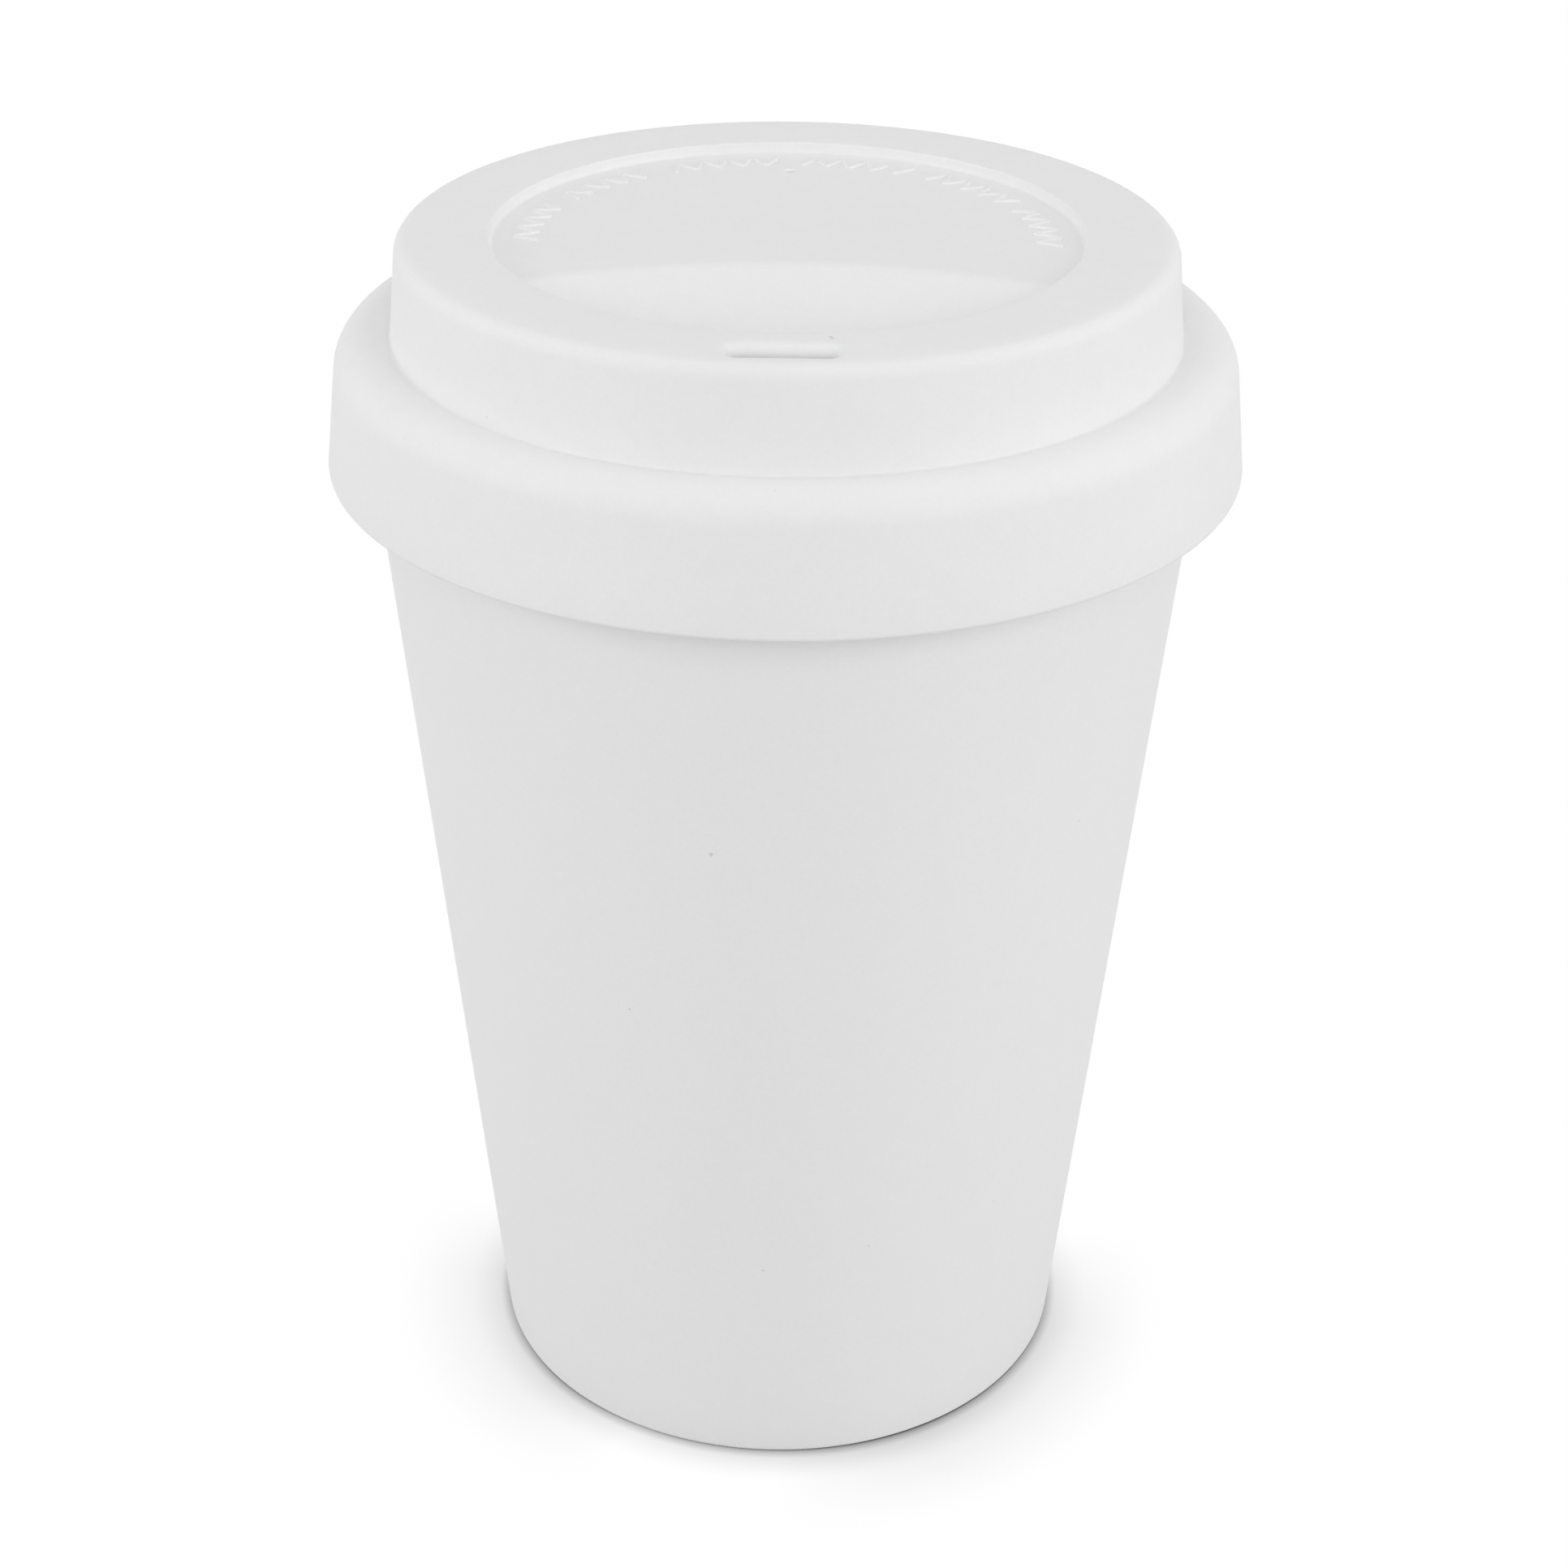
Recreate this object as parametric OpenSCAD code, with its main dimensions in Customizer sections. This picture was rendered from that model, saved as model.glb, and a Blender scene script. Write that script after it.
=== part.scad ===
// Reusable coffee cup: a tapered moulded cup with a soft one-piece lid.
// Every section is drawn with the radius along X and the height along Y, then turned about the axis.
// The drinking slot is on the -Y side. The origin is the middle of the foot, on the table.

/* [Cup] */
// Outer diameter of the cup where it stands
base_d = 64.3; // [60:0.1:72]
// Outer diameter of the cup at its rim
rim_d = 87; // [84:0.1:92]
// Height of the rim above the table
rim_h = 118; // [90:1:150]
// Thickness of the cup's wall
cup_wall = 2.4; // [2:0.1:3]
// Thickness of the cup's floor
floor_t = 2.6; // [2:0.1:4]
// Radius inside, where the wall meets the floor
inside_r = 5; // [3:0.5:8]

/* [Foot] */
// Width of the ring that the cup stands on
foot_w = 3.2; // [2.5:0.1:5]
// Depth of the recess inside the foot ring
foot_recess = 1.6; // [1:0.1:3]
// Radius of the foot's outer edge
foot_edge_r = 0.6; // [0.4:0.1:1]

/* [Lid] */
// How far the skirt's lower edge stands out from the rim, on the radius
skirt_out = 3.5; // [3:0.05:6]
// Thickness of the lid's wall
lid_wall = 2.2; // [1.8:0.1:2.6]
// How far the skirt hangs below the rim
skirt_drop = 11.3; // [8:0.1:16]
// Radius of the skirt's lower edges
skirt_edge_r = 0.5; // [0.3:0.1:0.8]
// Running gap between the lid and the cup
fit_gap = 0.3; // [0.2:0.05:0.4]

/* [Plug ring] */
// How far the plug ring reaches below the rim
plug_drop = 7; // [5:0.1:10]
// Thickness of the plug ring at its tip
plug_tip = 1.6; // [1.2:0.1:2]
// How much the plug ring narrows towards its tip, on the radius
plug_lead = 0.7; // [0.4:0.1:1]
// Radius of the sealing bead round the plug ring
bead_r = 0.6; // [0.5:0.05:0.8]
// Depth of the bead's middle below the rim
bead_drop = 4.6; // [3.5:0.1:5]

/* [Raised top] */
// How far the foot of the raised top stands inside the middle of the rim
plateau_inset = 2.15; // [1.3:0.05:3]
// Height of the raised top above the rim
plateau_h = 12.1; // [10:0.1:16]
// Draft of the raised top's side, in degrees
plateau_draft = 5.1; // [2:0.1:7]
// Radius of the raised top's outer edge
plateau_edge_r = 1.6; // [1:0.1:1.7]

/* [Dish] */
// Width of the land between the dish and the outer edge of the raised top
land_w = 9.3; // [8.8:0.1:14]
// Depth of the dish
dish_depth = 1.2; // [1.15:0.05:2]
// Radius of the rounded lip round the dish
dish_lip_r = 0.9; // [0.4:0.05:0.9]
// Radius where the dish's wall meets its floor
dish_foot_r = 0.15; // [0.1:0.05:0.2]

/* [Lip well] */
// Radius of the curved crest where the floor turns down to the well, seen from above
crest_r = 56; // [50:1:70]
// Length of the well, from the crest's middle to the front of the dish
well_l = 22.5; // [18:0.5:28]
// Slope of the well's floor, in degrees
well_slope = 22; // [15:1:24]

/* [Slot and vent] */
// Width of the drinking slot
slot_w = 9.7; // [7:0.1:14]
// Length of the drinking slot from back to front
slot_l = 3.6; // [2:0.1:3.8]
// Distance of the slot's middle from the outer edge of the raised top
slot_inset = 4.55; // [4.3:0.05:4.8]
// Radius of the slot's rounded mouth
slot_lip_r = 0.6; // [0.3:0.1:0.7]
// Diameter of the vent hole
vent_d = 1; // [0.8:0.1:2]
// Distance of the vent hole from the back of the dish
vent_inset = 6.7; // [3:0.1:10]

/* [Hidden] */
$fn = 160;
// How far a cut runs past a face
over = 1;

// The cup's outer face leans outwards by this angle.
lean = atan((rim_d - base_d) / 2 / rim_h);
// A point's distance from the axis on the cup's outer face, and on its inner face
function cup_out(z) = base_d / 2 + z * tan(lean);
function cup_in(z) = cup_out(z) - cup_wall / cos(lean);
floor_top = foot_recess + floor_t;

// The rim is a full round. Its middle is also the middle of the lid's shoulder, over the rim.
rim_mid = [cup_out(rim_h - cup_wall / 2) - cup_wall / 2 / cos(lean), rim_h - cup_wall / 2];
to_outside = [cos(lean), -sin(lean)];

// Shoulder: an arc round the rim, one gap outside it, as thick as the lid
shoulder_in = cup_wall / 2 + fit_gap;
shoulder_out = shoulder_in + lid_wall;
crown_z = rim_mid[1] + shoulder_out;

// Skirt: its outer face is the tangent from the shoulder's arc to the lower edge.
skirt_z = rim_h - skirt_drop;
skirt_reach = [rim_d / 2 + skirt_out, skirt_z] - rim_mid;
skirt_turn = atan2(skirt_reach[1], skirt_reach[0]) + acos(shoulder_out / norm(skirt_reach));
skirt_normal = [cos(skirt_turn), sin(skirt_turn)];
skirt_down = [sin(skirt_turn), -cos(skirt_turn)];

// A point of the skirt's faces: so far out from the rim's middle, at height z
function skirt_point(out, z) =
    rim_mid + out * skirt_normal
    + skirt_down * (rim_mid[1] + out * skirt_normal[1] - z) / cos(skirt_turn);

// Plug ring: its root keeps the gap to the cup's inner face, and its tip stands further in.
plug_root = rim_mid - shoulder_in * to_outside;
plug_end_z = rim_h - plug_drop;
plug_tip_mid = [
    cup_in(plug_end_z) - fit_gap / cos(lean) - plug_lead - plug_tip / 2,
    plug_end_z + plug_tip / 2
];
bead_z = rim_h - bead_drop;
bead_mid = [cup_in(bead_z) - (fit_gap + bead_r) / cos(lean), bead_z];

// Raised top
top_z = rim_h + plateau_h;
function plateau_out(z) = rim_mid[0] - plateau_inset - (z - crown_z) * tan(plateau_draft);
function plateau_in(z) = plateau_out(z) - lid_wall / cos(plateau_draft);
edge_mid_z = top_z - plateau_edge_r;
edge_mid = [plateau_out(edge_mid_z) - plateau_edge_r / cos(plateau_draft), edge_mid_z];
draft_normal = [cos(plateau_draft), sin(plateau_draft)];

// Dish, lip well, slot and vent
dish_r = plateau_out(top_z) - land_w;
dish_z = top_z - dish_depth;
tub_r = dish_r + lid_wall;
well_axis_y = well_l - dish_r - crest_r;
// Drop of the well's floor from the crest to the front of the tub, with some to spare
well_deep = (crest_r + well_axis_y + tub_r) * tan(well_slope) + over;
slot_y = plateau_out(top_z) - slot_inset;
vent_y = dish_r - vent_inset;

// A filled circle of radius r with its middle at point p
module disc(p, r) {
    translate(p) circle(r = r);
}

// Inside of the cup: the inner face, the floor and the round between them
module cup_hollow_section() {
    round_z = floor_top + inside_r;
    round_mid = [cup_in(round_z) - inside_r / cos(lean), round_z];
    wall_touch = round_mid + inside_r * to_outside;
    polygon([
        [0, floor_top],
        [round_mid[0], floor_top],
        wall_touch,
        [cup_in(rim_mid[1]), rim_mid[1]],
        [cup_in(rim_h + over), rim_h + over],
        [0, rim_h + over]
    ]);
    disc(round_mid, inside_r);
}

// Outside of the cup up to the middle of the rim, with the foot's rounded edge
module cup_outer_section() {
    edge_mid_r = cup_out(foot_edge_r) - foot_edge_r / cos(lean);
    foot_mid = [edge_mid_r, foot_edge_r];
    polygon([
        [0, 0],
        [edge_mid_r, 0],
        foot_mid + foot_edge_r * to_outside,
        rim_mid + cup_wall / 2 * to_outside,
        rim_mid - cup_wall / 2 * to_outside,
        [0, rim_mid[1]]
    ]);
    disc(foot_mid, foot_edge_r);
}

// Recess under the floor, with walls that lean like the cup's own
module foot_recess_section() {
    ring_r = base_d / 2 - foot_w;
    polygon([
        [0, -over],
        [ring_r + over * tan(lean), -over],
        [ring_r - foot_recess * tan(lean), foot_recess],
        [0, foot_recess]
    ]);
}

module cup() {
    color("whitesmoke") rotate_extrude() {
        difference() {
            cup_outer_section();
            cup_hollow_section();
            foot_recess_section();
        }
        disc(rim_mid, cup_wall / 2);
    }
}

// Raised top, solid down to the tip of the plug ring
module plateau_section() {
    polygon([
        [0, plug_tip_mid[1]],
        [0, top_z],
        [edge_mid[0], top_z],
        edge_mid + plateau_edge_r * draft_normal,
        [plateau_out(rim_mid[1]), rim_mid[1]],
        [plug_root[0], plug_tip_mid[1]]
    ]);
    disc(edge_mid, plateau_edge_r);
}

// Shoulder over the rim and skirt outside it
module skirt_section() {
    disc(rim_mid, shoulder_out);
    level_z = skirt_z + skirt_edge_r;
    outer_mid = skirt_point(shoulder_out - skirt_edge_r, level_z);
    inner_mid = skirt_point(shoulder_in + skirt_edge_r, level_z);
    polygon([
        rim_mid,
        rim_mid + shoulder_out * skirt_normal,
        outer_mid + skirt_edge_r * skirt_normal,
        outer_mid - [0, skirt_edge_r],
        inner_mid - [0, skirt_edge_r],
        inner_mid - skirt_edge_r * skirt_normal
    ]);
    disc(outer_mid, skirt_edge_r);
    disc(inner_mid, skirt_edge_r);
}

// Channel that the rim sits in, between the skirt and the plug ring
module rim_channel_section() {
    low_z = skirt_z - over;
    plug_side = plug_tip_mid + [plug_tip / 2, 0];
    disc(rim_mid, shoulder_in);
    polygon([
        rim_mid,
        rim_mid + shoulder_in * skirt_normal,
        skirt_point(shoulder_in, low_z),
        [plug_side[0], low_z],
        plug_side,
        plug_root
    ]);
}

// Space under the raised top and inside the plug ring
module underside_section() {
    low_z = skirt_z - over;
    plug_side = plug_tip_mid - [plug_tip / 2, 0];
    polygon([
        [0, low_z],
        [plug_side[0], low_z],
        plug_side,
        [plateau_in(crown_z), crown_z],
        [plateau_in(top_z - lid_wall), top_z - lid_wall],
        [0, top_z - lid_wall]
    ]);
}

module lid_shell() {
    rotate_extrude() {
        difference() {
            union() {
                plateau_section();
                skirt_section();
            }
            rim_channel_section();
            underside_section();
        }
        disc(plug_tip_mid, plug_tip / 2);
        disc(bead_mid, bead_r);
    }
}

// Cone whose surface is the well's floor: it meets height z along the crest's circle
module well_cone(z, up) {
    top_r = crest_r + up / tan(well_slope);
    low_r = crest_r - well_deep / tan(well_slope);
    translate([0, well_axis_y, z - well_deep])
        cylinder(h = well_deep + up, r1 = low_r, r2 = top_r);
}

// Solid under the dish and the well, one wall thicker than they are
module tub() {
    translate([0, 0, dish_z - lid_wall]) cylinder(h = top_z - dish_z + lid_wall / 2, r = tub_r);
    intersection() {
        translate([0, 0, dish_z - well_deep - over * 4])
            cylinder(h = well_deep + over * 4, r = tub_r);
        well_cone(dish_z - lid_wall / cos(well_slope), lid_wall / cos(well_slope));
    }
}

// Dish with its rounded lip, as a solid to cut away
module dish_cut() {
    rotate_extrude() {
        difference() {
            union() {
                polygon([
                    [0, dish_z],
                    [dish_r - dish_foot_r, dish_z],
                    [dish_r, dish_z + dish_foot_r],
                    [dish_r, top_z - dish_lip_r],
                    [dish_r + dish_lip_r, top_z],
                    [dish_r + dish_lip_r, top_z + over],
                    [0, top_z + over]
                ]);
                disc([dish_r - dish_foot_r, dish_z + dish_foot_r], dish_foot_r);
                translate([dish_r - over, top_z - dish_lip_r])
                    square([over + dish_lip_r, dish_lip_r]);
            }
            disc([dish_r + dish_lip_r, top_z - dish_lip_r], dish_lip_r);
        }
    }
}

// Well in front of the crest, as a solid to cut away
module well_cut() {
    intersection() {
        translate([0, 0, dish_z - well_deep])
            cylinder(h = well_deep + dish_foot_r, r = dish_r);
        well_cone(dish_z, dish_foot_r);
    }
}

// Drinking slot with a mouth that flares out in a round on all four sides
module slot_cut() {
    translate([0, -slot_y, top_z]) {
        translate([-slot_w / 2, -slot_l / 2, -lid_wall - over])
            cube([slot_w, slot_l, lid_wall + over * 2]);
        difference() {
            translate([-slot_w / 2 - slot_lip_r, -slot_l / 2 - slot_lip_r, -slot_lip_r])
                cube([slot_w + slot_lip_r * 2, slot_l + slot_lip_r * 2, slot_lip_r + over]);
            for (side = [-1, 1]) {
                translate([-slot_w, side * (slot_l / 2 + slot_lip_r), -slot_lip_r])
                    rotate([0, 90, 0]) cylinder(h = slot_w * 2, r = slot_lip_r);
                translate([side * (slot_w / 2 + slot_lip_r), slot_w / 2, -slot_lip_r])
                    rotate([90, 0, 0]) cylinder(h = slot_w, r = slot_lip_r);
            }
        }
    }
}

module vent_cut() {
    translate([0, vent_y, dish_z - lid_wall - over])
        cylinder(h = lid_wall + over * 2, r = vent_d / 2, $fn = 48);
}

module lid() {
    color("white") difference() {
        union() {
            lid_shell();
            tub();
        }
        dish_cut();
        well_cut();
        slot_cut();
        vent_cut();
    }
}

cup();
lid();
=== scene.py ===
# A reusable coffee cup with a soft lid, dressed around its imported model.
import math

import bmesh
import bpy
import numpy as np
from mathutils import Matrix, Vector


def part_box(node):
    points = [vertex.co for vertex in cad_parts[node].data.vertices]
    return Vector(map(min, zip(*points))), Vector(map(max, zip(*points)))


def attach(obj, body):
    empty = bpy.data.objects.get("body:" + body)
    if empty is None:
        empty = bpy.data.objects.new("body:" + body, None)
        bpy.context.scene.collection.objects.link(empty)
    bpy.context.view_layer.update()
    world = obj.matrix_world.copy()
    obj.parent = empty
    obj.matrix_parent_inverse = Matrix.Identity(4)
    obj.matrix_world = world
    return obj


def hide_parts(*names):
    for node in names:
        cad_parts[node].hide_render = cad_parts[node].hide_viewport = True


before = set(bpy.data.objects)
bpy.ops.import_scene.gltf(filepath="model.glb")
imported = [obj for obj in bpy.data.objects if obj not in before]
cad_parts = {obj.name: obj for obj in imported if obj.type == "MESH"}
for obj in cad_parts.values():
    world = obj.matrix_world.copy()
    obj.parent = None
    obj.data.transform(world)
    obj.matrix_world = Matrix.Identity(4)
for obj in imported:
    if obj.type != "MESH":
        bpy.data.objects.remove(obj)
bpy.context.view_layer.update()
mm = 0.001  # sizes are given in millimetres, and meshes are made in metres
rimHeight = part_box("cup")[1].z / mm
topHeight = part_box("lid")[1].z / mm
print("frame loaded:", ", ".join(sorted(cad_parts)))

# Camera: the point of view of the photo, found from the outlines of the cup and lid
photoView = {
    "back": 292.86,  # level distance from the cup's axis
    "up": 225.25,  # height above the floor
    "around": 0.57,  # degrees round the cup from the front to the right
    "pitch": 28.39,  # degrees down
    "yaw": 0.03,  # degrees to the right
    "roll": 0.53,  # degrees
    "focalPixels": 3729.8,
    "imagePixels": 1932,
}


# A direction from the middle, by degrees round from the front to the right and degrees up
def direction(around, rise):
    around, rise = math.radians(around), math.radians(rise)
    return np.array([math.sin(around) * math.cos(rise), -math.cos(around) * math.cos(rise), math.sin(rise)])


# An object's place and axes, as one matrix: its right, its upper side and its back are the columns.
def pose(right, above, back, place):
    rows = np.column_stack([right, above, back, place])
    return Matrix([list(row) for row in rows] + [[0, 0, 0, 1]])


# The camera's axes are the level view direction turned by yaw, then pitch, then roll, and the whole
# camera is turned round the cup.
def placeCamera(view):
    around, pitch, yaw, roll = (math.radians(view[key]) for key in ("around", "pitch", "yaw", "roll"))
    yaw -= around
    ahead = np.array([math.sin(yaw) * math.cos(pitch), math.cos(yaw) * math.cos(pitch), -math.sin(pitch)])
    level = np.array([math.cos(yaw), -math.sin(yaw), 0.0])
    upright = np.cross(level, ahead)
    right = math.cos(roll) * level + math.sin(roll) * upright
    above = math.cos(roll) * upright - math.sin(roll) * level
    place = np.array([math.sin(around) * view["back"], -math.cos(around) * view["back"], view["up"]]) * mm
    lens = bpy.data.cameras.new("photoCamera")
    lens.sensor_width = 36
    lens.lens = lens.sensor_width * view["focalPixels"] / view["imagePixels"]
    holder = bpy.data.objects.new("photoCamera", lens)
    holder.matrix_world = pose(right, above, -ahead, place)
    bpy.context.scene.collection.objects.link(holder)
    bpy.context.scene.camera = holder


placeCamera(photoView)
print("camera placed")


# Arc: the middle plus the radius times (cos a, sin a), with a in even steps or as a list of degrees
def arc(middle, radius, degrees, steps=None):
    if steps:
        degrees = np.linspace(degrees[0], degrees[-1], steps + 1)
    a = np.radians(np.asarray(degrees, float))
    return np.stack([middle[0] + radius * np.cos(a), middle[1] + radius * np.sin(a)], 1)


# Straight line: the start plus t times the way to the end, with t in even steps from 0 to 1
def line(start, end, steps):
    t = np.linspace(0, 1, steps + 1)[:, None]
    return np.asarray(start) + t * (np.asarray(end) - np.asarray(start))


# Sections for every turn angle, as an array of angle, point, (radius, height). Each part gives up its
# last point to the next one. Also returns where each named part begins.
def stackParts(parts, count):
    begins, pieces, at = {}, [], 0
    names = list(parts)
    for name in names:
        part = np.asarray(parts[name], float)
        if part.ndim == 2:
            part = np.broadcast_to(part, (count,) + part.shape)
        if name != names[-1]:
            part = part[:, :-1]
        begins[name] = at
        at += part.shape[1]
        pieces.append(part)
    return np.concatenate(pieces, 1), begins


# Turned surface: (radius cos a, radius sin a, height), for every angle a and every point of its section
def turn(sections, angles):
    r, z = sections[..., 0], sections[..., 1]
    a = np.radians(angles)[:, None]
    return np.stack([r * np.cos(a), r * np.sin(a), z], -1).transpose(1, 0, 2)


# Four corners of each cell of a grid whose columns close on themselves, less the cells that are cut out
def gridFaces(points, cutOut=None):
    rows, columns = points.shape[:2]
    row = np.arange(rows - 1)[:, None]
    column = np.arange(columns)[None, :]
    after = (column + 1) % columns
    cells = np.stack([
        row * columns + column,
        row * columns + after,
        (row + 1) * columns + after,
        (row + 1) * columns + column,
    ], -1)
    return cells.reshape(-1, 4) if cutOut is None else cells[~cutOut]


meshing = {
    "weld": 1e-6,  # metres between points that become one
    "sharpFrom": 35,  # degrees between faces with a sharp edge
}


# One closed mesh from several grids: their shared edges are welded and the faces turned outwards.
def makePiece(name, grids, body):
    points, faces, at = [], [], 0
    for grid, cells in grids:
        flat = grid.reshape(-1, 3)
        points.append(flat)
        faces.append(cells + at)
        at += len(flat)
    mesh = bpy.data.meshes.new(name)
    mesh.from_pydata((np.concatenate(points) * mm).tolist(), [], np.concatenate(faces).tolist())
    shape = bmesh.new()
    shape.from_mesh(mesh)
    bmesh.ops.remove_doubles(shape, verts=shape.verts, dist=meshing["weld"])
    bmesh.ops.recalc_face_normals(shape, faces=shape.faces)
    shape.to_mesh(mesh)
    shape.free()
    mesh.shade_smooth()
    mesh.set_sharp_from_angle(angle=math.radians(meshing["sharpFrom"]))
    piece = bpy.data.objects.new(name, mesh)
    bpy.context.scene.collection.objects.link(piece)
    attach(piece, body)
    return piece


# Cup: one moulding, a cone with a full-round rim and a foot ring. Radii of rounds end in Round or Edge.
cupSize = {
    "footDiameter": 64.3,
    "rimDiameter": 87,
    "wall": 2.4,
    "floor": 2.6,
    "insideRound": 5,
    "footWidth": 3.2,
    "footRecess": 1.6,
    "footEdge": 0.6,
    "recessEdge": 0.3,
    "columnStep": 1.0,  # degrees
}
leanDegrees = math.degrees(math.atan((cupSize["rimDiameter"] - cupSize["footDiameter"]) / 2 / rimHeight))
leanTan = math.tan(math.radians(leanDegrees))
leanCos = math.cos(math.radians(leanDegrees))


# Distance from the axis on the cup's outer face, and on its inner face, at a height
def cupOut(height):
    return cupSize["footDiameter"] / 2 + height * leanTan


def cupIn(height):
    return cupOut(height) - cupSize["wall"] / leanCos


rimMid = np.array([
    cupOut(rimHeight - cupSize["wall"] / 2) - cupSize["wall"] / 2 / leanCos,
    rimHeight - cupSize["wall"] / 2,
])


# The section runs from the axis over the inner floor, up the inner face, over the rim, down the outer
# face, round the foot ring and along the recess back to the axis.
def cupMoulding(size):
    edge, small = size["footEdge"], size["recessEdge"]
    floorTop = size["footRecess"] + size["floor"]
    roundHeight = floorTop + size["insideRound"]
    roundMid = [cupIn(roundHeight) - size["insideRound"] / leanCos, roundHeight]
    footMid = [cupOut(edge) - edge / leanCos, edge]
    ringRadius = size["footDiameter"] / 2 - size["footWidth"]
    ringMid = [ringRadius + small, small]
    recessTop = [ringRadius - size["footRecess"] * leanTan, size["footRecess"]]
    rimArc = arc(rimMid, size["wall"] / 2, [180 - leanDegrees, -leanDegrees], 16)
    footArc = arc(footMid, edge, [-leanDegrees, -90], 6)
    insideArc = arc(roundMid, size["insideRound"], [-90, -leanDegrees], 12)
    ringArc = arc(ringMid, small, [270, 180], 4)
    sections, _ = stackParts({
        "floor": line([0, floorTop], insideArc[0], 8),
        "inside": insideArc,
        "innerFace": line(insideArc[-1], rimArc[0], 16),
        "rim": rimArc,
        "outerFace": line(rimArc[-1], footArc[0], 24),
        "foot": footArc,
        "ring": line(footArc[-1], ringArc[0], 2),
        "ringEdge": ringArc,
        "recessWall": line(ringArc[-1], recessTop, 2),
        "recess": line(recessTop, [0, size["footRecess"]], 8),
    }, 1)
    angles = np.arange(0, 360, size["columnStep"])
    grid = turn(np.repeat(sections, len(angles), 0), angles)
    piece = makePiece("cupMoulding", [(grid, gridFaces(grid))], "cup")
    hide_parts("cup")
    return piece


cup = cupMoulding(cupSize)
print("cup made:", len(cup.data.polygons), "faces")

# Lid: one moulding with a raised top, a dish with a lip well, a slot, a vent, a skirt and a plug ring
lidSize = {
    "wall": 2.2,
    "gap": 0.3,  # between the lid and the cup's rim
    "skirtOut": 3.5,  # past the rim, at the skirt's lower edge
    "skirtDrop": 11.3,  # below the rim's top, as the other drops are
    "skirtEdge": 0.5,
    "plugDrop": 7,
    "plugTip": 1.6,  # width of the plug ring's tip
    "plugLead": 0.7,  # how far the tip stands back from the cup's wall
    "bead": 0.6,
    "beadDrop": 4.6,
    "plateauInset": 2.15,  # of the raised top's foot from the rim's middle line
    "plateauDraft": 5.1,  # degrees
    "plateauEdge": 1.6,
    "creaseRound": 0.22,  # between the raised top's side and the shoulder
    "land": 9.3,  # width of the level ring round the dish
    "dishDepth": 1.05,
    "dishLip": 0.2,
    "dishFoot": 0.45,
    "crestRadius": 56,
    "crestRound": 0.8,  # half the width over which the crest turns down
    "wellLength": 22.5,  # from the dish's front wall to the crest, along the middle
    "wellSlope": 22,  # degrees
    "wellFoot": 0.8,
    "footGrowth": 3,  # depth below the dish at which its foot has grown into the well's
    "slotWidth": 9.7,
    "slotLength": 1.8,  # the hole itself, inside its round mouth
    "slotInset": 4.55,  # of the slot's middle from the raised top's edge
    "slotLip": 1.5,
    "slotEnds": 0.55,  # share of the lip's width at the slot's two ends
    "slotCorner": 0.5,
    "slotUnderLip": 0.15,
    "ventDiameter": 0.8,
    "ventInset": 6.7,  # of the vent's middle from the dish's edge
    "ventLip": 0.4,
}
lidMesh = {
    "columnStep": 1.0,  # degrees
    "fineColumns": (16, 40, 0.25),  # from, to and step in degrees, where the crest meets the wall
    "crestSpan": 1.3,  # finer rows on each side of the crest, in crest rounds
    "beforeFoot": (0.955, 0.975),  # where the finer rows lie if the crest isn't met, as a share of the foot
    "slotWindow": 12,  # degrees on each side that are cut out for the slot
    "slotMargin": 1,  # room behind the slot's mouth
    "ventWindow": 4,
    "tubMargin": 0.5,  # width of the last row of the roof
    "fade": (0.3, 0.6, 0.85),  # rings between a window's edge and the hole's lip
}
draftTan = math.tan(math.radians(lidSize["plateauDraft"]))
draftCos = math.cos(math.radians(lidSize["plateauDraft"]))
slopeTan = math.tan(math.radians(lidSize["wellSlope"]))
slopeCos = math.cos(math.radians(lidSize["wellSlope"]))
shoulderIn = cupSize["wall"] / 2 + lidSize["gap"]
shoulderOut = shoulderIn + lidSize["wall"]
crownHeight = rimMid[1] + shoulderOut


# Distance from the axis on the raised top's outer side, and on its inner side, at a height
def plateauOut(height):
    return rimMid[0] - lidSize["plateauInset"] - (height - crownHeight) * draftTan


def plateauIn(height):
    return plateauOut(height) - lidSize["wall"] / draftCos


edgeHeight = topHeight - lidSize["plateauEdge"]
edgeMid = np.array([plateauOut(edgeHeight) - lidSize["plateauEdge"] / draftCos, edgeHeight])
dishRadius = plateauOut(topHeight) - lidSize["land"]
dishHeight = topHeight - lidSize["dishDepth"]
tubRadius = dishRadius + lidSize["wall"]
wellAxisY = lidSize["wellLength"] - dishRadius - lidSize["crestRadius"]
slotY = plateauOut(topHeight) - lidSize["slotInset"]
ventY = dishRadius - lidSize["ventInset"]


# Floor of the dish and well: level outside the crest's circle, and inside it falling by the slope
# times the distance past the crest. A parabola turns one into the other over the crest's round.
def floorHeight(r, a, level, crest, halfRound):
    past = crest - np.hypot(r * np.cos(a), r * np.sin(a) - wellAxisY)
    bend = (past + halfRound) ** 2 / (4 * halfRound)
    fall = np.where(past > halfRound, past, np.where(past < -halfRound, 0, bend))
    return level - slopeTan * fall


def dishFloor(r, a):
    return floorHeight(r, a, dishHeight, lidSize["crestRadius"], lidSize["crestRound"])


# The underside is one wall lower, measured square to the well's floor, so its crest stands a little
# further out.
def tubFloor(r, a):
    crest = lidSize["crestRadius"] + lidSize["wall"] * (1 / slopeCos - 1) / slopeTan
    return floorHeight(r, a, dishHeight - lidSize["wall"], crest, 2 * lidSize["crestRound"])


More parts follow.
